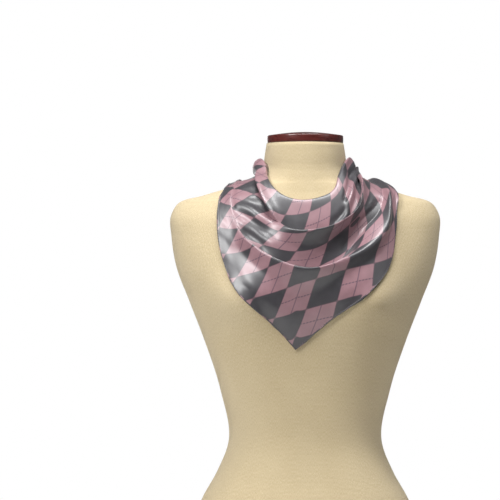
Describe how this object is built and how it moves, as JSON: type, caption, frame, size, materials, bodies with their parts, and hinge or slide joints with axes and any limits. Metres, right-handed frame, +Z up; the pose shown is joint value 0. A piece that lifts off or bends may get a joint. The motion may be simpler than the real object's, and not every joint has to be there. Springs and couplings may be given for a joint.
{
  "type": "silk square scarf on a limbless dress form",
  "caption": "Square silk scarf folded to a triangle, draped over the chest in soft cowls and knotted at the nape, shown on a limbless jersey-covered dress form with a wooden neck cap.",
  "frame": {"origin": "middle of the dress form's flat base, below the neck axis", "axes": "+Z up along the neck axis; the chest faces -Y; +X is the right-hand side seen from the front"},
  "size_m": [0.386, 0.255, 0.7043],
  "materials": {
    "silk": "silk satin with a woven dusty pink and charcoal argyle pattern",
    "jersey": "matt cream jersey stretched over the form",
    "cap_wood": "glossy dark red-brown lacquer"
  },
  "bodies": {
    "root": {"form_torso": "jersey", "neck_cap": "cap_wood", "front_drape": "silk", "left_wrap": "silk", "right_wrap": "silk", "knot": "silk", "left_tail": "silk", "right_tail": "silk"}
  },
  "joints": []
}
